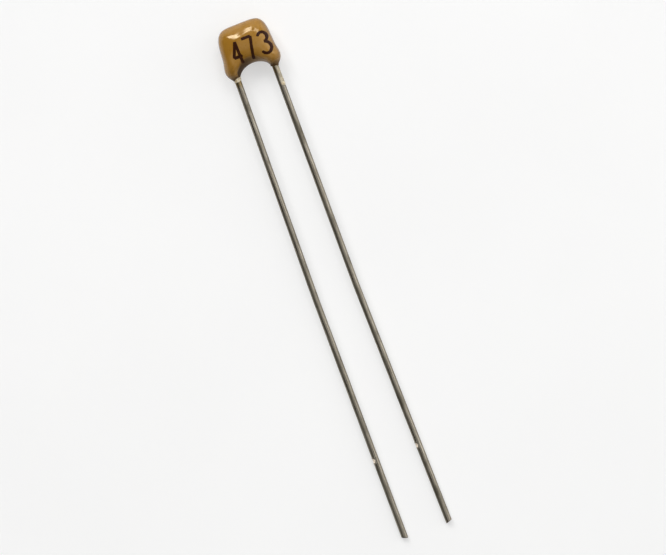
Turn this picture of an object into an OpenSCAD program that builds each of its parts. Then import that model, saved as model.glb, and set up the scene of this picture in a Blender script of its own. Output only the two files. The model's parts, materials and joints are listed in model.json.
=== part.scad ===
// Radial-lead multilayer ceramic capacitor. A fired block of ceramic and metal layers
// has a wire soldered along each end, and is dipped in epoxy. The epoxy runs down on to
// the wires as two skirts, with an arch between them.
//
// Every piece is drawn in the device's own frame: X from lead to lead, Y up to the
// crown, Z out of the marked face, with the origin midway between the leads at the
// ends of the skirts. laid() then lays the device on its back on the plane Z = 0.

/* [Coating] */
// Half width across the chip
coat_half_w = 2.1; // [2.05:0.05:2.6]
// Height of the crown above the ends of the skirts
coat_h = 3.96; // [3.8:0.02:4.8]
// Thickness from the marked face to the back
coat_t = 2.5; // [2.2:0.1:3.2]
// Squareness of the shoulders, where 2 is an ellipse
shoulder_square = 5.2; // [4.4:0.2:7]
// Flatness of the face and back, where 2 is an ellipse
face_square = 2.2; // [2.1:0.1:2.8]
// Bulge of each skirt over its lead, as a share of the width
skirt_bulge = 0.086; // [0.04:0.002:0.12]
// Half width of the arch between the skirts
arch_half_w = 1.24; // [1.1:0.02:1.26]
// Height of the arch
arch_h = 0.74; // [0.4:0.02:0.8]
// Sideways lean of the crown
crown_lean = 0.07; // [-0.1:0.01:0.1]

/* [Chip] */
// Height of the chip along the leads
chip_w = 2.2; // [1.6:0.1:2.3]
// Thickness of the ceramic
chip_t = 1.2; // [1:0.05:1.3]
// Distance of the chip above the ends of the skirts
chip_up = 1.05; // [1:0.05:1.1]
// Radius of the tumbled edges of the ceramic
chip_edge_r = 0.12; // [0.05:0.01:0.2]
// Number of electrode plates
plate_count = 24; // [8:2:24]
// Thickness of a plate
plate_t = 0.01; // [0.005:0.001:0.012]
// Ceramic left bare around the plates
plate_margin = 0.22; // [0.15:0.01:0.3]
// Thickness of the fired metal on the ends
end_t = 0.05; // [0.03:0.01:0.06]
// Reach of the end metal over the sides of the chip
end_wrap = 0.42; // [0.3:0.02:0.5]

/* [Leads] */
// Diameter of the wire
lead_d = 0.5; // [0.45:0.01:0.52]
// Spacing of the leads where they leave the coating
lead_pitch = 3.13; // [3.05:0.01:3.2]
// Length from the ends of the skirts to the cut tips
lead_len = 37.8; // [25:0.2:40]
// Distance below the skirts of the slight bend in each lead
bend_down = 18; // [10:0.5:20]
// Sideways set of the left lead at its bend
left_bend_set = -0.44; // [-0.6:0.01:0.6]
// Sideways set of the left lead at its tip
left_tip_set = -0.61; // [-1:0.01:1]
// Sideways set of the right lead at its bend
right_bend_set = -0.22; // [-0.6:0.01:0.6]
// Sideways set of the right lead at its tip
right_tip_set = -0.07; // [-1:0.01:1]
// Slant of the sheared tips
tip_slant = 18; // [0:1:30]
// Distance below the skirts of the pinch mark on each lead
pinch_down = 31.3; // [22:0.1:36]
// Depth of the pinch mark
pinch_depth = 0.05; // [0.02:0.01:0.08]

/* [Hidden] */

LEFT = -1;
RIGHT = 1;
epoxy_ochre = [0.66, 0.46, 0.18];
fired_ceramic = [0.78, 0.72, 0.62];
electrode_metal = [0.55, 0.53, 0.50];
silver_paste = [0.80, 0.80, 0.78];
solder_grey = [0.62, 0.63, 0.64];
tinned_wire = [0.58, 0.56, 0.52];

lead_r = lead_d / 2;
lead_x = lead_pitch / 2;

// The chip fills the space between the wires, less a film of solder at each end.
solder_film = 0.03;
chip_l = lead_pitch - lead_d - 2 * solder_film;
ceramic_l = chip_l - 2 * end_t;
chip_top = chip_up + chip_w;
lead_top = chip_top - 0.2;

// Rings of the coating: angles round the arch from the right skirt to the left one.
skirt_angle = -6;
ring_count = 56;
ring_points = 44;
tip_collar = 0.03; // epoxy left on the wire where a skirt ends
skirt_peak = 16.3; // angle at which a skirt bulges most
skirt_spread = 15.7;
skirt_closing = 0.131; // share of the width that a skirt has lost at its end
closing_spread = 12.5;
arch_square = 1.88;
thinning_angle = 26; // angle over which a skirt thickens into the body
thinning_power = 1.3;
crown_easing = 10; // angle over which the two sides run into each other

// ---- the coating's form -------------------------------------------------------------

function bell(x) = exp(-x * x);

// Radius of a superellipse with half axes a and b, at an angle from the X axis.
function super_radius(a, b, n, angle) =
    pow(pow(abs(cos(angle)) / a, n) + pow(abs(sin(angle)) / b, n), -1 / n);

// Angle up from whichever skirt is nearer, rounded off where the two sides meet.
function rise(angle) = max(90 - norm([90 - angle, crown_easing]), skirt_angle);

// Outline of the face, with each skirt swelling over its lead and closing on to it.
function outline_radius(angle) =
    super_radius(coat_half_w, coat_h, shoulder_square, angle)
    * (1 + skirt_bulge * bell((rise(angle) - skirt_peak) / skirt_spread)
         - skirt_closing * bell((rise(angle) - skirt_angle) / closing_spread));

function arch_radius(angle) = super_radius(arch_half_w, arch_h, arch_square, angle);

// From 0 at the end of a skirt to 1 in the body.
function fullness(angle) =
    1 - exp(-pow((rise(angle) - skirt_angle) / thinning_angle, thinning_power));

function half_thickness(angle) =
    let (end = lead_r + tip_collar) end + (coat_t / 2 - end) * fullness(angle);

function section_square(angle) = 2 + (face_square - 2) * fullness(angle);

// A cosine or sine bent towards a superellipse.
function squared(v, n) = sign(v) * pow(abs(v), 2 / n);

// The crown leans a little to one side.
function leaned(x, y) = x + crown_lean * pow(y / coat_h, 2);

// One point of the skin: angle goes round the arch, and turn goes round the section.
function skin_point(angle, turn) =
    let (
        inner = arch_radius(angle),
        outer = outline_radius(angle),
        n = section_square(angle),
        r = (inner + outer) / 2 + (outer - inner) / 2 * squared(cos(turn), n),
        z = half_thickness(angle) * squared(sin(turn), n),
        y = r * sin(angle)
    )
    [leaned(r * cos(angle), y), y, z];

skin = [
    for (i = [0:ring_count])
        let (angle = skirt_angle + (180 - 2 * skirt_angle) * i / ring_count)
        for (j = [0:ring_points - 1]) skin_point(angle, 360 * j / ring_points)
];

function skin_index(i, j) = i * ring_points + j % ring_points;

skin_faces = concat(
    [
        for (i = [0:ring_count - 1], j = [0:ring_points - 1])
            [skin_index(i, j), skin_index(i + 1, j + 1), skin_index(i + 1, j)]
    ],
    [
        for (i = [0:ring_count - 1], j = [0:ring_points - 1])
            [skin_index(i, j), skin_index(i, j + 1), skin_index(i + 1, j + 1)]
    ],
    [[for (j = [ring_points - 1:-1:0]) j]],
    [[for (j = [0:ring_points - 1]) skin_index(ring_count, j)]]
);

// ---- how the device lies ------------------------------------------------------------

// The tips drop to the floor when the back's fullest line has come to rest on it.
back_line = (arch_h + coat_h) / 2;
shear_drop = lead_r * tan(tip_slant); // fall of a tip's slanted face from its middle
lie_tilt = atan((half_thickness(90) - lead_r) / (lead_len - shear_drop + back_line));

function tilted(p) =
    [p.x, p.y * cos(lie_tilt) - p.z * sin(lie_tilt), p.y * sin(lie_tilt) + p.z * cos(lie_tilt)];

laid_skin = [for (p = skin) tilted(p)];
tip_x = [-lead_x + left_tip_set, lead_x + right_tip_set];
low_x = min(tip_x[0] - lead_r, min([for (p = laid_skin) p.x]));
high_x = max(tip_x[1] + lead_r, max([for (p = laid_skin) p.x]));
low_y = -(lead_len - shear_drop) * cos(lie_tilt)
    - norm([shear_drop * cos(lie_tilt), lead_r * sin(lie_tilt)]);
high_y = max([for (p = laid_skin) p.y]);
floor_z = min([for (p = laid_skin) p.z]);

module laid() {
    translate([-(low_x + high_x) / 2, -(low_y + high_y) / 2, -floor_z])
        rotate([lie_tilt, 0, 0])
            children();
}

// ---- inner pieces -------------------------------------------------------------------

// Bar along X with rounded long edges, w high and t thick.
module rounded_bar(l, w, t, r) {
    translate([-l / 2, 0, 0])
        rotate([90, 0, 90])
            linear_extrude(l) {
                square([w - 2 * r, t], center = true);
                square([w, t - 2 * r], center = true);
                for (u = [-1, 1], v = [-1, 1])
                    translate([u * (w / 2 - r), v * (t / 2 - r)]) circle(r, $fn = 48);
            }
}

module at_chip() {
    translate([0, chip_up + chip_w / 2, 0]) children();
}

// Chip without its end metal, as cut, tumbled and fired.
module fired_bar() {
    at_chip() rounded_bar(ceramic_l, chip_w, chip_t, chip_edge_r);
}

// Plates of one polarity: every second layer, open at this side's end of the chip.
module plates(side) {
    gap = (chip_t - 2 * plate_margin - plate_t) / (plate_count - 1);
    first = side == LEFT ? 0 : 1;
    reach = ceramic_l - plate_margin;
    at_chip()
        for (i = [first:2:plate_count - 1])
            translate([side * plate_margin / 2, 0, (i - (plate_count - 1) / 2) * gap])
                cube([reach, chip_w - 2 * plate_margin, plate_t], center = true);
}

// Metal paste fired round one end of the chip.
module end_cap(side) {
    difference() {
        at_chip()
            translate([side * (chip_l / 2 - end_wrap / 2), 0, 0])
                rounded_bar(end_wrap, chip_w + 2 * end_t, chip_t + 2 * end_t, chip_edge_r + end_t);
        fired_bar();
    }
}

// Cross-section of the solder between a flat end (at x = 0) and the wire beside it:
// a block hollowed on both sides by the round face of the molten metal.
module fillet_section() {
    hollow_r = 0.26;
    wire_x = solder_film + lead_r;
    hollow_x = hollow_r + 0.02;
    hollow_y = sqrt(pow(hollow_r + lead_r - 0.01, 2) - pow(wire_x - hollow_x, 2));
    difference() {
        translate([0, -hollow_y]) square([wire_x - 0.02, 2 * hollow_y]);
        for (v = [-1, 1]) translate([hollow_x, v * hollow_y]) circle(hollow_r, $fn = 64);
        translate([wire_x, 0]) circle(lead_r, $fn = 64);
    }
}

// Solder between the wire and the end metal, sloping off at its top and bottom.
module solder_run(side) {
    foot = chip_w - 0.2;
    head = foot - 0.5;
    run = solder_film + lead_r;
    translate([side * chip_l / 2, chip_up + chip_w / 2, 0])
        mirror([side == LEFT ? 1 : 0, 0, 0])
            intersection() {
                rotate([90, 0, 0]) translate([0, 0, -foot / 2]) linear_extrude(foot) fillet_section();
                linear_extrude(2, center = true)
                    polygon([[0, -foot / 2], [run, -head / 2], [run, head / 2], [0, foot / 2]]);
            }
}

// ---- leads --------------------------------------------------------------------------

function lead_turn(a, b) = atan2(b.y - a.y, b.x - a.x);

// Straight round wire from a to b, longer at each end by spare.
module wire(a, b, spare = 0) {
    translate([a.x, a.y, 0])
        rotate([0, 0, lead_turn(a, b)])
            translate([-spare, 0, 0])
                rotate([0, 90, 0]) cylinder(h = norm(b - a) + 2 * spare, r = lead_r, $fn = 96);
}

// Block that fills the side of a joint away from a, up to the plane that halves the bend.
module beyond(a, joint, b) {
    size = 120;
    turn = (lead_turn(a, joint) + lead_turn(joint, b)) / 2;
    translate([joint.x, joint.y, 0])
        rotate([0, 0, turn])
            translate([0, -size / 2, -size / 2]) cube(size);
}

// Route of a lead: inside end, exit, bend and tip.
function lead_route(side) =
    let (
        bend_set = side == LEFT ? left_bend_set : right_bend_set,
        tip_set = side == LEFT ? left_tip_set : right_tip_set,
        x = side * lead_x
    )
    [[x, lead_top], [x, 0.1], [x + bend_set, -bend_down], [x + tip_set, -lead_len]];

module whole_wire(side) {
    p = lead_route(side);
    spare = 0.2;
    difference() {
        wire(p[0], p[1] - [0, spare]);
        beyond(p[0], p[1], p[2]);
    }
    difference() {
        intersection() {
            wire(p[1], p[2], spare);
            beyond(p[0], p[1], p[2]);
        }
        beyond(p[1], p[2], p[3]);
    }
    intersection() {
        wire(p[2], p[3], spare);
        beyond(p[1], p[2], p[3]);
    }
}

// The cutter's slanted face at a tip, whose longer side is the lead's full length.
module shear(side) {
    tip = lead_route(side)[3];
    translate([tip.x, tip.y + shear_drop, 0])
        rotate([0, 0, side * tip_slant])
            translate([-1, -2, -1]) cube(2);
}

// A jaw has pressed a shallow hollow into the front of each wire, towards the left.
module pinch(side) {
    p = lead_route(side);
    along = (pinch_down - bend_down) / (lead_len - bend_down);
    spot = p[2] + (p[3] - p[2]) * along;
    jaw_r = 0.4;
    translate([spot.x, spot.y, 0])
        rotate([0, -45, 0])
            translate([0, 0, lead_r - pinch_depth + jaw_r])
                rotate([0, 90, 0]) cylinder(h = 1, r = jaw_r, center = true, $fn = 64);
}

module lead(side) {
    difference() {
        whole_wire(side);
        shear(side);
        pinch(side);
    }
}

// ---- pieces -------------------------------------------------------------------------

module coating() {
    color(epoxy_ochre)
        laid()
            difference() {
                polyhedron(points = skin, faces = skin_faces, convexity = 6);
                fired_bar();
                for (side = [LEFT, RIGHT]) {
                    end_cap(side);
                    solder_run(side);
                    whole_wire(side);
                }
            }
}

module ceramic_block() {
    color(fired_ceramic)
        laid()
            difference() {
                fired_bar();
                plates(LEFT);
                plates(RIGHT);
            }
}

module left_electrodes() {
    color(electrode_metal) laid() plates(LEFT);
}

module right_electrodes() {
    color(electrode_metal) laid() plates(RIGHT);
}

module left_end_metal() {
    color(silver_paste) laid() end_cap(LEFT);
}

module right_end_metal() {
    color(silver_paste) laid() end_cap(RIGHT);
}

module left_solder() {
    color(solder_grey) laid() solder_run(LEFT);
}

module right_solder() {
    color(solder_grey) laid() solder_run(RIGHT);
}

module left_lead() {
    color(tinned_wire) laid() lead(LEFT);
}

module right_lead() {
    color(tinned_wire) laid() lead(RIGHT);
}

coating();
ceramic_block();
left_electrodes();
right_electrodes();
left_end_metal();
right_end_metal();
left_solder();
right_solder();
left_lead();
right_lead();
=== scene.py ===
import json
import math

import bpy
import numpy as np
from mathutils import Matrix, Vector


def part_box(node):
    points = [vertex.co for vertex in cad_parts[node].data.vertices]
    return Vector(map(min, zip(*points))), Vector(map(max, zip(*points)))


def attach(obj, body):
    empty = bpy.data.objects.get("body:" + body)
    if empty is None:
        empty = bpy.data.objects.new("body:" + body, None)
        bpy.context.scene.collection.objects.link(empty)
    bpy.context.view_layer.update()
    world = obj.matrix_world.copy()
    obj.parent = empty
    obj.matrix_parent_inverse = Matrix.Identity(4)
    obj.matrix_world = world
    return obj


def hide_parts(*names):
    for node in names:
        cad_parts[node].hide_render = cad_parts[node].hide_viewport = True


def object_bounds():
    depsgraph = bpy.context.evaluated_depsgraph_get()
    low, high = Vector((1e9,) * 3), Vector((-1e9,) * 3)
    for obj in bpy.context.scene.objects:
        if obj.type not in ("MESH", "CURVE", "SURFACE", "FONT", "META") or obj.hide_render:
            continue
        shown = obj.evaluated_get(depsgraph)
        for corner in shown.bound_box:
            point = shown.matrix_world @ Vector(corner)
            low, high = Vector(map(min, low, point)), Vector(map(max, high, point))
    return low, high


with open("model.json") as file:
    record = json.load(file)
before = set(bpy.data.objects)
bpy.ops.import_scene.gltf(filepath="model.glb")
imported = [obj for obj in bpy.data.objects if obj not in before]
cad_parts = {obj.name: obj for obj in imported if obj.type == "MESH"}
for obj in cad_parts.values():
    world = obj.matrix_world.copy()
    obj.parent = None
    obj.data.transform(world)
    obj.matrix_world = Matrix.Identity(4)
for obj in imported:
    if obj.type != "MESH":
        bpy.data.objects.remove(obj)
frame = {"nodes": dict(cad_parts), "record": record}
cad_low, cad_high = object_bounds()


# ---- Epoxy coating -------------------------------------------------------------------
# The chip and the heads of its wires are dipped in ochre epoxy. It runs down each wire
# as a skirt and arches between the two, and sets to a glossy skin that is a little wavy.

MM = 0.001
LEFT, RIGHT = -1, 1

# The device has a frame of its own, in millimetres: X from wire to wire, Y up to the
# crown and Z out of the marked face, from the seat where the ends of the skirts stand.
seat = next(mount for mount in frame["record"]["mounts"] if mount["name"] == "board_seat")
seat_point = np.array(seat["pos_m"])
slope_cos, slope_sin = -seat["axis"][1], -seat["axis"][2]


def lay(points):
    """Points of the device's own frame, in metres, as it lies on its back: turned about X
    by the slope of the seat's axis, then moved to the seat."""
    x, y, z = points[..., 0], points[..., 1], points[..., 2]
    turned = [x, y * slope_cos - z * slope_sin, y * slope_sin + z * slope_cos]
    return np.stack(turned, -1) * MM + seat_point


coat_half_w = 2.1
coat_h = 3.96
coat_half_t = 1.25
shoulder_square = 5.2
face_square = 2.2
crown_lean = 0.07
crown_easing = 10  # degrees over which the two sides run into each other

arch_half_w = 1.24
arch_h = 0.74
arch_square = 1.88

skirt_angle = -6
skirt_bulge = 0.086
skirt_peak, skirt_spread = 16.3, 15.7
skirt_closing, closing_spread = 0.131, 12.5
thinning_angle, thinning_power = 26, 1.3
lead_r = 0.25
tip_collar = 0.03

end_lift = {LEFT: 0.15, RIGHT: 0.09}  # how far short of the full angle a skirt stops
end_slant = {LEFT: 0.13, RIGHT: 0.05}  # how much lower it ends outside, and higher inside
end_spread = 9
lip_drop = 0.05


def bell(x):
    return np.exp(-x * x)


def smooth_step(x):
    """0 below 0 and 1 above 1, with a cubic in between."""
    x = np.clip(x, 0, 1)
    return x * x * (3 - 2 * x)


def super_radius(a, b, n, angle):
    """Superellipse: |cos|/a and |sin|/b, each to the power n, summed, to the power -1/n."""
    across = np.abs(np.cos(np.radians(angle))) / a
    up = np.abs(np.sin(np.radians(angle))) / b
    return (across**n + up**n) ** (-1 / n)


def coat_section(angle):
    """Section through the coating at an angle round the arch: the radius of its middle,
    its half width, its half thickness and its squareness. The outline is a superellipse
    times 1 + a bell where a skirt swells - a bell where it closes on to its wire. The
    thickness grows from the wire's own as 1 - exp(-rise to a power). The rise is the
    angle from the nearer skirt, rounded off where the two sides meet."""
    rise = np.maximum(90 - np.hypot(90 - angle, crown_easing), skirt_angle)
    swell = skirt_bulge * bell((rise - skirt_peak) / skirt_spread)
    closing = skirt_closing * bell((rise - skirt_angle) / closing_spread)
    outer = super_radius(coat_half_w, coat_h, shoulder_square, angle) * (1 + swell - closing)
    inner = super_radius(arch_half_w, arch_h, arch_square, angle)
    fullness = 1 - np.exp(-((rise - skirt_angle) / thinning_angle) ** thinning_power)
    end = lead_r + tip_collar
    half_t = end + (coat_half_t - end) * fullness
    return (inner + outer) / 2, (outer - inner) / 2, half_t, 2 + (face_square - 2) * fullness


def squared(v, n):
    """A cosine or sine bent towards a superellipse: its size to the power 2/n."""
    return np.sign(v) * np.abs(v) ** (2 / n)


def leaned(x, y):
    """The crown leans to one side by the square of the height."""
    return x + crown_lean * (y / coat_h) ** 2


def coat_skin(angle, turn):
    """Surface of two angles: one goes round the arch from skirt to skirt, the other goes
    round the section there, whose two axes are the radius and the thickness."""
    middle, half_w, half_t, n = coat_section(angle)
    r = middle + half_w * squared(np.cos(turn), n)
    y = r * np.sin(np.radians(angle))
    x = leaned(r * np.cos(np.radians(angle)), y)
    return np.stack([x, y, half_t * squared(np.sin(turn), n)], -1)


# The unevenness of the set epoxy: how high each part of it stands, and where.
slow_wave_h, quick_wave_h = 0.003, 0.002
swelling_h, swelling_x, swelling_y = 0.06, -0.06, 2.7
front_sink = 0.04
ripple_h, ripple_x, ripple_y = 0.04, 0.61, 3.12
ridge_h, ridge_x = 0.018, 1.6
hollow_h, hollow_x = 0.012, 0.98


def skin_wave(points):
    """Unevenness in millimetres: products of slow sines all over and, on the front, a
    swelling under the crown, a ripple across it that steepens and flattens by turns, and
    a low ridge over each wire with a hollow beside it."""
    x, y, z = points[..., 0], points[..., 1], points[..., 2]
    slow = slow_wave_h * np.sin(2.3 * x + 0.9) * np.cos(1.9 * y + 0.4 + 0.6 * z)
    quick = quick_wave_h * np.sin(4.7 * x - 1.3 * y + 2.0) * np.cos(3.9 * y + 1.7 * z + 0.8)
    swelling = swelling_h * bell(x - swelling_x) * bell((y - swelling_y) / 0.9) - front_sink
    up = y - ripple_y
    ripple = ripple_h * up * np.cos(math.pi * (x - ripple_x)) * bell(up / 0.4)
    aside = np.abs(x)
    ridge = ridge_h * bell((aside - ridge_x) / 0.3) - hollow_h * bell((aside - hollow_x) / 0.28)
    ridge = ridge * smooth_step((2.2 - y) / 1.2)
    return slow + quick + smooth_step(z / 0.8) * (swelling + ripple + ridge)


def grid_normals(points):
    """Unit normals of a grid that closes on itself along its second axis: the cross
    product of the steps to the neighbours along the two axes."""
    along = np.gradient(points, axis=0)
    round_ = np.roll(points, -1, axis=1) - np.roll(points, 1, axis=1)
    normals = np.cross(along, round_)
    return normals / np.maximum(np.linalg.norm(normals, axis=-1, keepdims=True), 1e-12)


def tube_faces(rows, columns):
    """Quads between neighbouring rings, and a fan from each end ring to its pole. The
    poles are the last two points. Faces point outwards where the rings turn from right
    to front as the tube goes up."""
    row, column = np.mgrid[0 : rows - 1, 0:columns]
    beside = (column + 1) % columns
    quads = [row * columns + column, (row + 1) * columns + column]
    quads += [(row + 1) * columns + beside, row * columns + beside]
    around = np.arange(columns)
    following = (around + 1) % columns
    last = (rows - 1) * columns
    first_fan = [np.full(columns, rows * columns), around, following]
    last_fan = [np.full(columns, rows * columns + 1), last + following, last + around]
    faces = np.stack(quads, -1).reshape(-1, 4).tolist()
    return faces + np.stack(first_fan, -1).tolist() + np.stack(last_fan, -1).tolist()


def with_poles(rings):
    """The values of a grid of rings, then those of a pole in the middle of each end."""
    ends = np.stack([rings[0].mean(0), rings[-1].mean(0)])
    return np.concatenate([rings.reshape(-1, *rings.shape[2:]), ends])


def smooth_object(name, points, faces, material):
    """A smoothly shaded object at the origin, with its place in its mesh."""
    mesh = bpy.data.meshes.new(name)
    mesh.from_pydata(points.tolist(), [], faces)
    mesh.polygons.foreach_set("use_smooth", np.ones(len(mesh.polygons), bool))
    mesh.materials.append(material)
    made = bpy.data.objects.new(name, mesh)
    bpy.context.scene.collection.objects.link(made)
    return made


def tube_piece(name, tubes, material, **marks):
    """A piece of one or more closed tubes, given as grids of points in the device's frame.
    Where there is one tube, marks are named values on its grid for the material to read."""
    points, faces = [], []
    for rings in tubes:
        start = sum(len(p) for p in points)
        points.append(lay(with_poles(rings)))
        faces += [[start + corner for corner in face] for face in tube_faces(*rings.shape[:2])]
    piece = smooth_object(name, np.concatenate(points), faces, material)
    for mark, values in marks.items():
        attribute = piece.data.attributes.new(mark, "FLOAT", "POINT")
        attribute.data.foreach_set("value", with_poles(values).astype(np.float32))
    piece.data.update()
    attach(piece, "root")
    return piece


def seen(red, green, blue):
    """A colour as it is seen, from 0 to 255, in the linear values that a shader takes."""
    part = np.array([red, green, blue]) / 255
    linear = np.where(part > 0.04045, ((part + 0.055) / 1.055) ** 2.4, part / 12.92)
    return (*linear.tolist(), 1.0)


class Finish:
    """A material under way: its nodes, the shader, and a few short ways to add to it."""

    def __init__(self, name, **even):
        """even are the shader's values that are the same all over the surface."""
        self.material = bpy.data.materials.new(name)
        self.material.use_nodes = True
        self.tree = self.material.node_tree
        self.shader = self.tree.nodes["Principled BSDF"]
        for socket, value in even.items():
            self.plug(value, self.shader, socket.replace("_", " "))

    def node(self, kind, **settings):
        node = self.tree.nodes.new(kind)
        for setting, value in settings.items():
            setattr(node, setting, value)
        return node

    def plug(self, value, node, socket):
        """Links another node's output to a socket, or sets a plain value on it."""
        if isinstance(value, bpy.types.NodeSocket):
            self.tree.links.new(value, node.inputs[socket])
        else:
            node.inputs[socket].default_value = value

    def noise(self, per_mm, detail=3.0, stretch=(1, 1, 1)):
        """Noise with so many features to the millimetre, drawn out along an axis where
        its stretch is under 1."""
        place = self.node("ShaderNodeTexCoord")
        scaled = self.node("ShaderNodeMapping")
        noise = self.node("ShaderNodeTexNoise")
        self.plug(place.outputs["Object"], scaled, "Vector")
        self.plug([per_mm / MM * share for share in stretch], scaled, "Scale")
        self.plug(scaled.outputs["Vector"], noise, "Vector")
        self.plug(1.0, noise, "Scale")
        self.plug(detail, noise, "Detail")
        return noise.outputs["Fac"]

    def between(self, factor, low, high, at=(0.35, 0.65)):
        """Two colours or two numbers, mixed as the factor goes from one mark to the other."""
        spread = self.node("ShaderNodeMapRange", interpolation_type="SMOOTHSTEP")
        self.plug(factor, spread, "Value")
        self.plug(at[0], spread, "From Min")
        self.plug(at[1], spread, "From Max")
        if isinstance(high, float):
            self.plug(low, spread, "To Min")
            self.plug(high, spread, "To Max")
            return spread.outputs["Result"]
        mix = self.node("ShaderNodeMix", data_type="RGBA")
        low_colour, high_colour, mixed_colour = 6, 7, 2  # the sockets of a mix of colours
        self.plug(spread.outputs["Result"], mix, "Factor")
        self.plug(low, mix, low_colour)
        self.plug(high, mix, high_colour)
        return mix.outputs[mixed_colour]

    def mark(self, name):
        """The values that a piece's mesh carries under a name."""
        return self.node("ShaderNodeAttribute", attribute_name=name).outputs["Fac"]

    def bump(self, height, depth_mm, under=None):
        """Raises the surface, or another bump's, by a depth where the height is 1."""
        bump = self.node("ShaderNodeBump")
        self.plug(height, bump, "Height")
        self.plug(depth_mm * MM, bump, "Distance")
        if under is not None:
            self.plug(under, bump, "Normal")
        return bump.outputs["Normal"]

    def vary(self, **outputs):
        """Links what varies over the surface to the shader, and gives the material."""
        for socket, output in outputs.items():
            self.plug(output, self.shader, socket.replace("_", " "))
        return self.material


def epoxy_finish():
    """Filled epoxy: ochre, faintly cloudy, glossy, with a fine unevenness that breaks up its
    reflections. It turns darker brown towards the ends of the skirts, and dark brown painted
    shade lies on the wall of the arch and round its edge."""
    finish = Finish("ochre_epoxy", IOR=1.57, Specular_Tint=(1, 0.86, 0.6, 1))
    cloud = finish.noise(1.1, 4.0)
    ochre = finish.between(cloud, seen(150, 106, 32), seen(157, 115, 50), (0.3, 0.7))
    speck = finish.noise(14.0, 2.0)
    specked = finish.between(speck, seen(134, 86, 16), ochre, (0.24, 0.36))
    thin = finish.mark("thin")
    polished = finish.between(finish.noise(3.0), 0.08, 0.13)
    ripple = finish.bump(finish.noise(2.2, 2.0), 0.006)
    return finish.vary(
        # Painted shade: dark brown on the arch wall and round the edge; darker towards the
        # skirts' ends too.
        Base_Color=finish.between(thin, specked, seen(54, 30, 3), (0.0, 1.0)),
        Roughness=finish.between(thin, polished, 0.75, (0.0, 1.0)),
        Normal=finish.bump(finish.noise(16.0, 2.0), 0.0008, ripple),
    )


arch_rows, section_points, lip_rows = 300, 240, 10
arch_angles = np.linspace(skirt_angle, 180 - skirt_angle, arch_rows)[:, None]
section_turns = (2 * math.pi * np.arange(section_points) / section_points)[None, :]
skin = coat_skin(arch_angles, section_turns)
skin = skin + grid_normals(skin) * skin_wave(skin)[..., None]
outside = np.broadcast_to(np.cos(section_turns), skin.shape[:2])
rise = np.broadcast_to(np.minimum(arch_angles, 180 - arch_angles), skin.shape[:2])
lift = np.where(arch_angles > 90, end_lift[LEFT], end_lift[RIGHT])
slant = np.where(arch_angles > 90, end_slant[LEFT], end_slant[RIGHT])
skin[..., 1] += (lift - slant * outside) * bell((rise - skirt_angle) / end_spread)


def lip(ring):
    """The end of a skirt rolls over on to the wire: the ring shrinks as a cosine while it
    drops as a sine, from just past the skin until it is nearly closed."""
    quarter = np.radians(np.linspace(9, 85, lip_rows))[:, None, None]
    centre = ring.mean(0)
    drop = np.array([0, -lip_drop, 0]) * np.sin(quarter)
    return centre + (ring - centre) * np.cos(quarter) + drop


def skin_thinness():
    """How much the epoxy is darkened, from 0 to 1: a bell up from the end of each skirt,
    painted shade on the wall of the arch, deepest on its left, and painted shade in a bell
    of the height round the edge."""
    ends = 0.8 * bell((rise - skirt_angle) / 17)
    # Painted shade on the wall of the arch, deepest on its left, and round the outer edge.
    leftward = 0.66 - 0.34 * np.cos(np.radians(arch_angles))
    arch = leftward * smooth_step((-outside - 0.5) / 0.3)
    edge = 0.45 * bell(skin[..., 2] / 0.5) * smooth_step(outside / 0.3)
    return np.maximum(ends, np.maximum(arch, edge))


lip_thinness = np.full((lip_rows, section_points), 0.9)
coat_rings = np.concatenate([lip(skin[0])[::-1], skin, lip(skin[-1])])
thinness = np.concatenate([lip_thinness, skin_thinness(), lip_thinness])
epoxy_coat = tube_piece("epoxy_coat", [coat_rings], epoxy_finish(), thin=thinness)
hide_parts("coating")


# ---- Printed code --------------------------------------------------------------------
# Three plain digits are stamped on the face in dark brown ink, a little to the right of
# its middle. The ink stands a few thousandths of a millimetre proud of the epoxy and
# follows its waves.

ink_low, ink_high = 0.92, 2.70
ink_half_w = 0.118
ink_t = 0.006
ink_root = 0.02  # how deep a stroke's underside lies in the epoxy
ink_over = 0.001  # how much higher a stroke lies than the one stamped before it
ink_waver = 0.03  # by what share of its width the edge of a stroke wavers
stroke_rows, stroke_points = 72, 28


def on_face(x, y, height):
    """Points over the face: its height at x, y is half_t (1 - |v| to the n) to the 1/n, v
    being the place across the section, then the wave and the height along the normal."""

    def face_z(x, y):
        upright_x = x - crown_lean * (y / coat_h) ** 2
        middle, half_w, half_t, n = coat_section(np.degrees(np.arctan2(y, upright_x)))
        v = np.clip(np.abs(np.hypot(upright_x, y) - middle) / half_w, 0, 0.999)
        return half_t * (1 - v**n) ** (1 / n)

    step = 0.002
    slope_x = (face_z(x + step, y) - face_z(x - step, y)) / (2 * step)
    slope_y = (face_z(x, y + step) - face_z(x, y - step)) / (2 * step)
    normals = np.stack([-slope_x, -slope_y, np.ones_like(slope_x)], -1)
    normals /= np.linalg.norm(normals, axis=-1, keepdims=True)
    base = np.stack([x, y, face_z(x, y)], -1)
    return base + normals * (skin_wave(base) + height)[..., None]


def line(start, end):
    """Straight stroke as a function of a share of its length."""
    start, end = np.array(start), np.array(end)
    return lambda share: start + (end - start) * share


def arc(centre, radius, start, end):
    """Round stroke from one angle to another, with a radius across and one up."""

    def point(share):
        angle = np.radians(start + (end - start) * share)
        return np.array(centre) + np.concatenate([np.cos(angle), np.sin(angle)], -1) * radius

    return point


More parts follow.
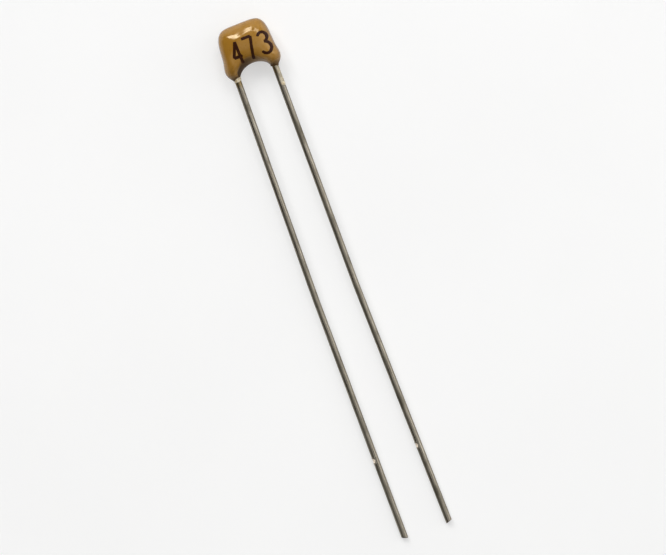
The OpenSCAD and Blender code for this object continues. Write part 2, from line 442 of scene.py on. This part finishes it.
def stroke_rings(path, order):
    """A stroke of ink along a path, the later in order the higher. Its half width falls as
    a blunt circle at both ends and wavers along the way by two sines. Its section is a
    flat dome, the square root of a sine, over a root of the same form in the epoxy."""
    share = (1 - np.cos(np.linspace(0.02, math.pi - 0.02, stroke_rows)))[:, None] / 2
    middle = path(share)
    heading = np.gradient(middle, axis=0)
    heading /= np.linalg.norm(heading, axis=1, keepdims=True)
    steps = np.linalg.norm(np.diff(middle, axis=0), axis=1)
    walked = np.concatenate([[0], np.cumsum(steps)])
    from_end = np.clip(np.minimum(walked, walked[-1] - walked) / (0.6 * ink_half_w), 0, 1)
    waver = 1 + ink_waver * (np.sin(9 * walked + 5 * order) + np.sin(23 * walked + 2))
    blunt = np.maximum(1 - (1 - from_end) ** 2, 0.02) ** 0.35
    half_w = (ink_half_w * waver * blunt)[:, None]
    turn = (2 * math.pi * np.arange(stroke_points) / stroke_points)[None, :]
    across = half_w * np.cos(turn)
    x = middle[:, :1] + heading[:, 1:] * across
    y = middle[:, 1:] - heading[:, :1] * across
    dome = np.abs(np.sin(turn)) ** 0.5
    height = np.where(np.sin(turn) > 0, ink_t * dome + ink_over * order, -ink_root * dome)
    return on_face(x, y, np.broadcast_to(height, x.shape))


def ink_finish():
    """Stamping ink: dark red-brown, thinner in patches, with a low gloss."""
    finish = Finish("stamping_ink", Specular_IOR_Level=0.12)
    patch = finish.noise(5.0, 3.0)
    return finish.vary(
        Base_Color=finish.between(patch, seen(74, 37, 5), seen(48, 20, 2), (0.28, 0.42)),
        Roughness=finish.between(patch, 0.5, 0.36),
        Normal=finish.bump(finish.noise(12.0), 0.002),
    )


digits = {
    "ink_four": [
        line((-0.55, ink_high), (-1.05, 1.50)),
        line((-1.05, 1.50), (-0.35, 1.50)),
        line((-0.55, ink_high), (-0.55, ink_low)),
    ],
    "ink_seven": [
        line((-0.02, ink_high), (0.74, ink_high)),
        line((0.74, ink_high), (0.30, ink_low)),
    ],
    "ink_three": [
        arc((1.57, 2.30), (0.34, 0.39), 158, -90),
        arc((1.57, 1.45), (0.40, 0.46), 90, -158),
    ],
}
stamping_ink = ink_finish()
for name, strokes in digits.items():
    tubes = [stroke_rings(path, order) for order, path in enumerate(strokes)]
    tube_piece(name, tubes, stamping_ink)


# ---- Leads ---------------------------------------------------------------------------
# Two tinned steel wires, straight but for a slight bend half way. Each is sheared to
# length at a slant and bears the mark of a jaw, pressed into its front left side.

lead_x = 3.13 / 2
lead_top = 3.05
lead_bend_y, lead_tip_y = -18.0, -37.8
bend_set = {LEFT: -0.44, RIGHT: -0.22}
tip_set = {LEFT: -0.61, RIGHT: -0.07}
shear_drop = lead_r * math.tan(math.radians(18))
shear_reach = 0.9  # how far up from the tip the rows slant
edge_roll, cut_dish = 0.02, 0.02
mark_y, mark_depth, jaw_r = -31.3, 0.05, 0.4
mark_lip_h, mark_lip_off = 0.035, 0.23  # the lips beside the mark, and how far off they are
jaw_way = np.array([-math.sqrt(0.5), math.sqrt(0.5)])  # across and front
browned_from, browned_to = -1.15, -0.25
wire_points = 64


def lead_middle(side, y):
    """Middle line of a lead at heights y: three straight stretches."""
    x = side * lead_x
    heights = [lead_tip_y, lead_bend_y, 0.1, lead_top]
    return np.interp(y, heights, [x + tip_set[side], x + bend_set[side], x, x])


def wire_turns():
    return (2 * math.pi * np.arange(wire_points) / wire_points)[None, :]


def round_wire(side, y, radius):
    """Circles of a radius round a lead's middle line, which is near enough to upright for
    them to lie level: x by the cosine of the turn and z by its sine."""
    turn = wire_turns()
    x = lead_middle(side, y) + radius * np.cos(turn)
    return np.stack([x, y + 0 * turn, radius * np.sin(turn) + 0 * y], -1)


def jaw_mark(y, out):
    """How far the jaw moved the skin of a wire, by the height and by how far out it stood
    on the jaw's side, and how bare and fresh it is there, which the material paints near
    white as a glint. Nothing stands further out than the jaw's arc, and what it pressed
    away stands above and below as two low lips, bells of the distance."""
    offset = y - mark_y
    reach = lead_r - mark_depth + jaw_r - np.sqrt(np.maximum(jaw_r**2 - offset**2, 0))
    pressed = np.where(np.abs(offset) < jaw_r, np.minimum(reach - out, 0), 0)
    lips = bell((np.abs(offset) - mark_lip_off) / 0.06) * bell((out - lead_r) / 0.09)
    # Bare pressed metal, which the material also paints near white as a glint.
    fresh_and_glint = np.clip(0.4 * lips + (pressed < -0.004), 0, 1)
    return pressed + mark_lip_h * lips, fresh_and_glint


def cut_face(ring):
    """The cut across a wire, from its edge inwards, dished as the square of the way."""
    shrink = np.linspace(0.94, 0.05, 9)[:, None, None]
    centre = ring.mean(0)
    return centre + (ring - centre) * shrink + np.array([0, cut_dish, 0]) * (1 - shrink**2)


def wire_rings(side):
    """A lead from its top down to its cut, and its marks. Rows crowd at the jaw's mark
    and at the tip. The last rows slant more and more to meet the cut, whose edge is
    rolled over by the shear."""
    rows = np.concatenate([
        np.linspace(lead_top, mark_y + 0.7, 120),
        np.linspace(mark_y + 0.6, mark_y - 0.6, 90),
        np.linspace(mark_y - 0.8, lead_tip_y + shear_reach, 24),
        np.linspace(lead_tip_y + shear_reach - 0.1, lead_tip_y + shear_drop, 36),
    ])[:, None]
    turn = wire_turns()
    near_tip = smooth_step((lead_tip_y + shear_reach - rows) / shear_reach)
    y = rows + shear_drop * side * np.cos(turn) * near_tip
    radius = lead_r - edge_roll * bell((rows - rows[-1]) / 0.03)
    rings = round_wire(side, y, radius)
    moved, fresh_and_glint = jaw_mark(y, radius * (jaw_way[0] * np.cos(turn) + jaw_way[1] * np.sin(turn)))
    rings[..., 0] += jaw_way[0] * moved
    rings[..., 2] += jaw_way[1] * moved
    face = cut_face(rings[-1])
    cut = np.concatenate([np.zeros_like(fresh_and_glint), np.ones(face.shape[:2])])
    fresh_and_glint = np.concatenate([fresh_and_glint, np.zeros(face.shape[:2])])
    rings = np.concatenate([rings, face])
    heated = smooth_step((rings[..., 1] - browned_from) / (browned_to - browned_from))
    return rings[::-1], {"fresh_and_glint": fresh_and_glint[::-1], "cut": cut[::-1], "heated": heated[::-1]}


def wire_finish():
    """Tinned wire: grey with fine lines drawn along it and duller patches, pale and rough where
    it was pressed, with a painted glint there in near white, browned by the solder's heat
    at the top, dark steel at the cut."""
    finish = Finish("tinned_wire", Specular_Tint=(0.42, 0.4, 0.37, 1))
    drawn = finish.noise(22.0, 3.0, (1, 0.02, 1))
    patch = finish.noise(1.3, 3.0, (1, 0.4, 1))
    grey = finish.between(drawn, seen(116, 109, 96), seen(160, 153, 139), (0.3, 0.7))
    dulled = finish.between(patch, grey, seen(102, 96, 83), (0.5, 0.75))
    heated = finish.between(finish.mark("heated"), dulled, seen(120, 104, 72), (0.1, 1.0))
    fresh_and_glint = finish.mark("fresh_and_glint")
    # Painted glint: the pressed metal is near white and barely metallic, so it stays bright
    # under any lamp.
    pressed = finish.between(fresh_and_glint, heated, seen(248, 234, 214), (0.2, 0.9))
    return finish.vary(
        Base_Color=finish.between(finish.mark("cut"), pressed, seen(84, 80, 74), (0.4, 0.6)),
        Metallic=finish.between(fresh_and_glint, 1.0, 0.2, (0.2, 0.9)),
        Roughness=finish.between(fresh_and_glint, finish.between(patch, 0.26, 0.42), 0.55),
        Normal=finish.bump(drawn, 0.003),
    )


tinned_wire = wire_finish()
for side, name in ((LEFT, "left"), (RIGHT, "right")):
    rings, marks = wire_rings(side)
    wire = tube_piece(f"{name}_wire", [rings], tinned_wire, **marks)
    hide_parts(f"{name}_lead")


# ---- Resin left on the leads ---------------------------------------------------------
# Thin resin bled out of the coating before it set. It stands as a pale collar under the
# left skirt, and runs down the front right of the other wire to a whitish drop.

resin_top = 0.2  # inside the skirt
collar_edge_y = -0.26
run_end_y, run_half_turn = -1.8, 70
drop_y, drop_turn = -1.62, 40


def collar_film(turn, y):
    """A band as far down as an edge that wavers by two cosines, round at its lower side."""
    waver = -0.06 * np.cos(np.radians(turn) - 2.2) + 0.02 * np.cos(np.radians(3 * turn))
    return -0.02 + 0.06 * smooth_step((y - collar_edge_y - waver) / 0.08)


def run_film(turn, y):
    """A run whose width wavers as a sine of the height, and a drop, which is a bell both
    ways, where it stopped."""
    aside = np.abs((turn - drop_turn + 180) % 360 - 180)
    width = run_half_turn + 8 * np.sin(4 * y + 1)
    run = smooth_step((width - aside) / 40) * smooth_step((y - run_end_y) / 0.3)
    drop = bell(aside / 38) * bell((y - drop_y) / 0.12)
    return -0.01 + 0.03 * run * (0.9 + 0.1 * np.sin(9 * y)) + 0.06 * drop


def resin_finish():
    """Set resin with little filler in it: cream, cloudy and softly glossy, as grey as the
    metal under it where the film is thin."""
    finish = Finish("pale_resin", IOR=1.5)
    cloud = finish.noise(6.0, 3.0)
    cream = finish.between(cloud, seen(184, 165, 130), seen(216, 204, 176))
    return finish.vary(
        Base_Color=finish.between(finish.mark("film"), seen(128, 121, 106), cream, (0.0, 0.7)),
        Roughness=finish.between(cloud, 0.25, 0.45),
        Normal=finish.bump(finish.noise(9.0), 0.006),
    )


def resin_piece(name, side, bottom, film, material):
    """A sleeve over a wire whose radius is the wire's own plus the film's thickness, and
    which dips under the metal wherever there is no resin."""
    y = np.linspace(bottom, resin_top, 120)[:, None]
    thickness = film(np.degrees(wire_turns()), y)
    rings = round_wire(side, y, lead_r + thickness)
    piece = tube_piece(name, [rings], material, film=np.clip(thickness / 0.05, 0, 1))


pale_resin = resin_finish()
resin_piece("resin_collar", LEFT, -0.42, collar_film, pale_resin)
resin_piece("resin_run", RIGHT, -2.0, run_film, pale_resin)


# ---- Inside the coating --------------------------------------------------------------
# A fired block of barium titanate holds two combs of nickel plates. Metal paste fired on
# each end joins one comb, and a fillet of tin solder holds the wire to it.


def ceramic_finish():
    """Fired ceramic: buff, fine-grained, matt."""
    finish = Finish("fired_ceramic", Roughness=0.6)
    return finish.vary(
        Base_Color=finish.between(finish.noise(9.0), seen(196, 178, 148), seen(214, 199, 172)),
        Normal=finish.bump(finish.noise(40.0), 0.002),
    )


def metal_finish(name, low, high, rough, per_mm, depth_mm):
    """Fired or set metal: two greys in a fine grain, which is rough by 0.08 more or less."""
    finish = Finish(name, Metallic=1.0)
    grain = finish.noise(per_mm)
    return finish.vary(
        Base_Color=finish.between(grain, seen(*low), seen(*high)),
        Roughness=finish.between(grain, rough - 0.08, rough + 0.08),
        Normal=finish.bump(grain, depth_mm),
    )


nickel_greys = (150, 146, 138), (170, 166, 158)
paste_greys = (186, 184, 176), (206, 204, 196)
solder_greys = (160, 161, 162), (186, 187, 188)
inner_finishes = {
    "ceramic_block": ceramic_finish(),
    "electrodes": metal_finish("nickel_plate", *nickel_greys, 0.45, 30.0, 0.001),
    "end_metal": metal_finish("fired_end_metal", *paste_greys, 0.4, 18.0, 0.003),
    "solder": metal_finish("tin_solder", *solder_greys, 0.3, 5.0, 0.004),
}
for node_name, node in frame["nodes"].items():
    for part, material in inner_finishes.items():
        if node_name.endswith(part):
            node.data.materials.clear()
            node.data.materials.append(material)


# ---- Floor ---------------------------------------------------------------------------
# A pale matt sheet under the device, which turns up into a low wall all round it.

floor_flat_r, floor_end_r, floor_wall_h = 0.5, 0.75, 0.2
floor_lift = 0.5


def sheet_points(radius, turn):
    """Flat out to a radius, then rising as the square of what is left, all round."""
    beyond = np.maximum(radius - floor_flat_r, 0) / (floor_end_r - floor_flat_r)
    height = floor_wall_h * beyond**2 + 0 * turn
    return np.stack([radius * np.cos(turn), radius * np.sin(turn), height], -1)


def floor_finish():
    """Pale paper with the faintest mottle, a little brighter to the camera and in what
    reflects it than the light that it throws back."""
    finish = Finish("pale_sheet", Roughness=0.8, Specular_IOR_Level=0.2)
    finish.vary(
        Base_Color=finish.between(finish.noise(0.05), seen(245, 245, 244), seen(248, 248, 247))
    )
    path = finish.node("ShaderNodeLightPath")
    looked_at = path.outputs["Is Camera Ray"]
    for ray in ("Is Glossy Ray", "Is Transmission Ray"):
        either = finish.node("ShaderNodeMath", operation="MAXIMUM")
        finish.plug(looked_at, either, 0)
        finish.plug(path.outputs[ray], either, 1)
        looked_at = either.outputs[0]
    lift = finish.node("ShaderNodeMath", operation="MULTIPLY")
    finish.plug(looked_at, lift, 0)
    finish.plug(floor_lift, lift, 1)
    glow = finish.node("ShaderNodeEmission")
    mix = finish.node("ShaderNodeMixShader")
    finish.plug(lift.outputs[0], mix, 0)
    finish.plug(finish.shader.outputs[0], mix, 1)
    finish.plug(glow.outputs[0], mix, 2)
    finish.plug(mix.outputs[0], finish.tree.nodes["Material Output"], "Surface")
    return finish.material


floor_radii = np.concatenate([[0.001], np.linspace(0.02, floor_end_r, 60)])[:, None]
floor_turns = np.linspace(0, 2 * math.pi, 96, endpoint=False)[None, :]
floor_grid = sheet_points(floor_radii, floor_turns)
floor_points = with_poles(floor_grid)[:-1]  # the rim stays open, so it has no pole
floor_faces = tube_faces(*floor_grid.shape[:2])[: -floor_turns.size]
floor = smooth_object("floor", floor_points, floor_faces, floor_finish())


# ---- Light ---------------------------------------------------------------------------
# A window of two soft panes, with a dimmer third, stands beyond the crown before a dim
# wall. A faint window hangs at the upper right over a soft lamp, one pale screen hangs
# overhead and one beyond the tips, and a grey room fills in the rest.

room_grey = 0.1
window_away = 0.5
window_brightness = 14.0

coat_low, coat_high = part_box("coating")
lit_spot = (coat_low + coat_high) / 2


def beyond_crown(aside, tilt):
    """A place so far right of the middle, tilted off the vertical by an angle."""
    tilt = math.radians(tilt)
    return Vector((aside, math.sin(tilt) * window_away, math.cos(tilt) * window_away))


def soft_pane(name, place, size, brightness):
    """A rectangular lamp at a place, turned to face the coating. Its power is pi times its
    area times its brightness."""
    lamp = bpy.data.lights.new(name, "AREA")
    lamp.shape = "RECTANGLE"
    lamp.size, lamp.size_y = size
    lamp.energy = math.pi * size[0] * size[1] * brightness
    pane = bpy.data.objects.new(name, lamp)
    pane.location = lit_spot + place
    pane.rotation_euler = (-place).to_track_quat("-Z", "Y").to_euler()
    pane.visible_camera = False
    bpy.context.scene.collection.objects.link(pane)


soft_pane("left_pane", beyond_crown(-0.119, 44), (0.076, 0.23), window_brightness)
soft_pane("right_pane", beyond_crown(0.006, 49), (0.064, 0.24), 0.8 * window_brightness)
soft_pane("dim_pane", beyond_crown(0.21, 34), (0.24, 0.2), 5.0)
soft_pane("far_wall", Vector((0.15, 0.62, 0.24)), (1.0, 0.45), 0.5)
soft_pane("side_window", beyond_crown(0.25, 12), (0.3, 0.24), 1.4)
soft_pane("side_lamp", Vector((0.45, -0.02, 0.22)), (0.3, 0.4), 1.75)
soft_pane("overhead_screen", Vector((0.0, -0.1, 0.6)), (0.34, 0.4), 0.65)
soft_pane("low_screen", Vector((0.2, -0.4, 0.4)), (0.45, 0.35), 0.6)

world = bpy.data.worlds.new("grey_room")
world.use_nodes = True
world.node_tree.nodes["Background"].inputs["Color"].default_value = (room_grey,) * 3 + (1,)
bpy.context.scene.world = world
bpy.context.scene.view_settings.view_transform = "Standard"


# ---- Camera --------------------------------------------------------------------------
# It looks down on the marked face from a little to the right, turned so that the crown
# points to the upper left.

camera_away = 0.285
camera_side = math.radians(8)
camera_roll = math.radians(20.8)

camera_data = bpy.data.cameras.new("camera")
camera_data.lens = 200
camera_data.clip_start, camera_data.clip_end = 0.01, 10
camera = bpy.data.objects.new("camera", camera_data)
bpy.context.scene.collection.objects.link(camera)
back = Vector((math.sin(camera_side), 0, math.cos(camera_side)))
level = Vector((math.cos(camera_side), 0, -math.sin(camera_side)))
crownward = Vector((0, 1, 0))
right = level * math.cos(camera_roll) - crownward * math.sin(camera_roll)
up = level * math.sin(camera_roll) + crownward * math.cos(camera_roll)
stand = (cad_low + cad_high) / 2 + back * camera_away
camera.matrix_world = Matrix.Translation(stand) @ Matrix((right, up, back)).transposed().to_4x4()
bpy.context.scene.camera = camera
